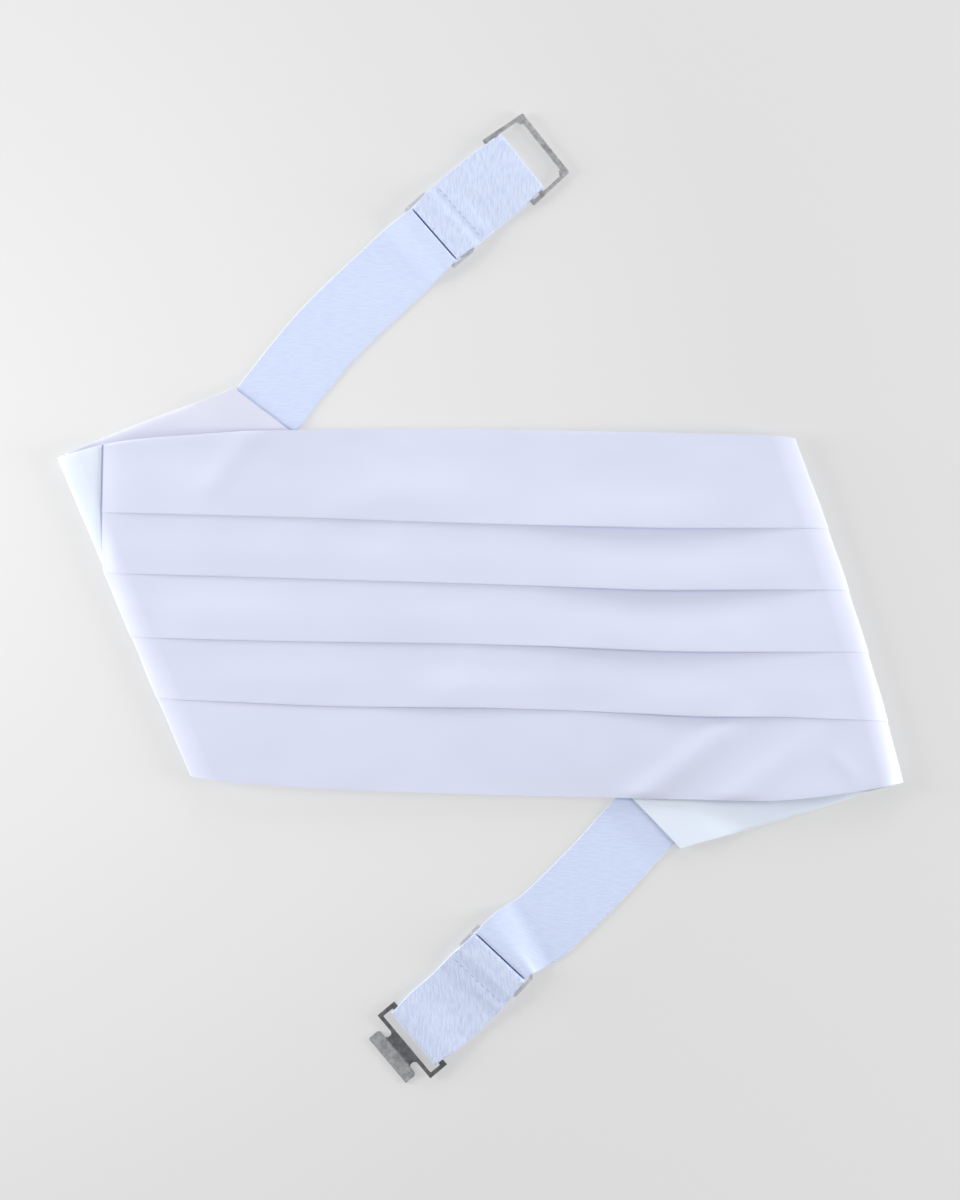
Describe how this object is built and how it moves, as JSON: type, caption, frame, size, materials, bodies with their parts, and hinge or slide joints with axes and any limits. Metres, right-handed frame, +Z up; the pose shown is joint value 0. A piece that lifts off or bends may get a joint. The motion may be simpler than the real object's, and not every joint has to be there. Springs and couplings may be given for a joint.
{
  "type": "cummerbund",
  "caption": "Pleated satin waist sash lying flat with its ends folded behind, elastic straps with sliders, a loop and a hook.",
  "frame": {"origin": "middle of the whole object's footprint, on the surface it lies on", "axes": "+Z up out of the pleated front, +X along the pleats towards the right end, +Y across the pleats towards the top panel"},
  "size_m": [0.2968, 0.338, 0.0098],
  "materials": {
    "satin": "smooth white satin with a cool cast",
    "lining": "plain white lining, low sheen",
    "elastic": "finely ribbed white elastic webbing",
    "slider_metal": "bright nickel plate",
    "aged_nickel": "dull mottled nickel plate"
  },
  "bodies": {
    "root": {"pleated_front": "satin", "left_wing": "satin", "right_wing": "satin", "left_lining": "lining", "right_lining": "lining", "loop_strap": "elastic", "hook_strap": "elastic", "loop_strap_slider": "slider_metal", "hook_strap_slider": "slider_metal", "loop_eye": "aged_nickel", "hook_plate": "aged_nickel"}
  },
  "joints": []
}
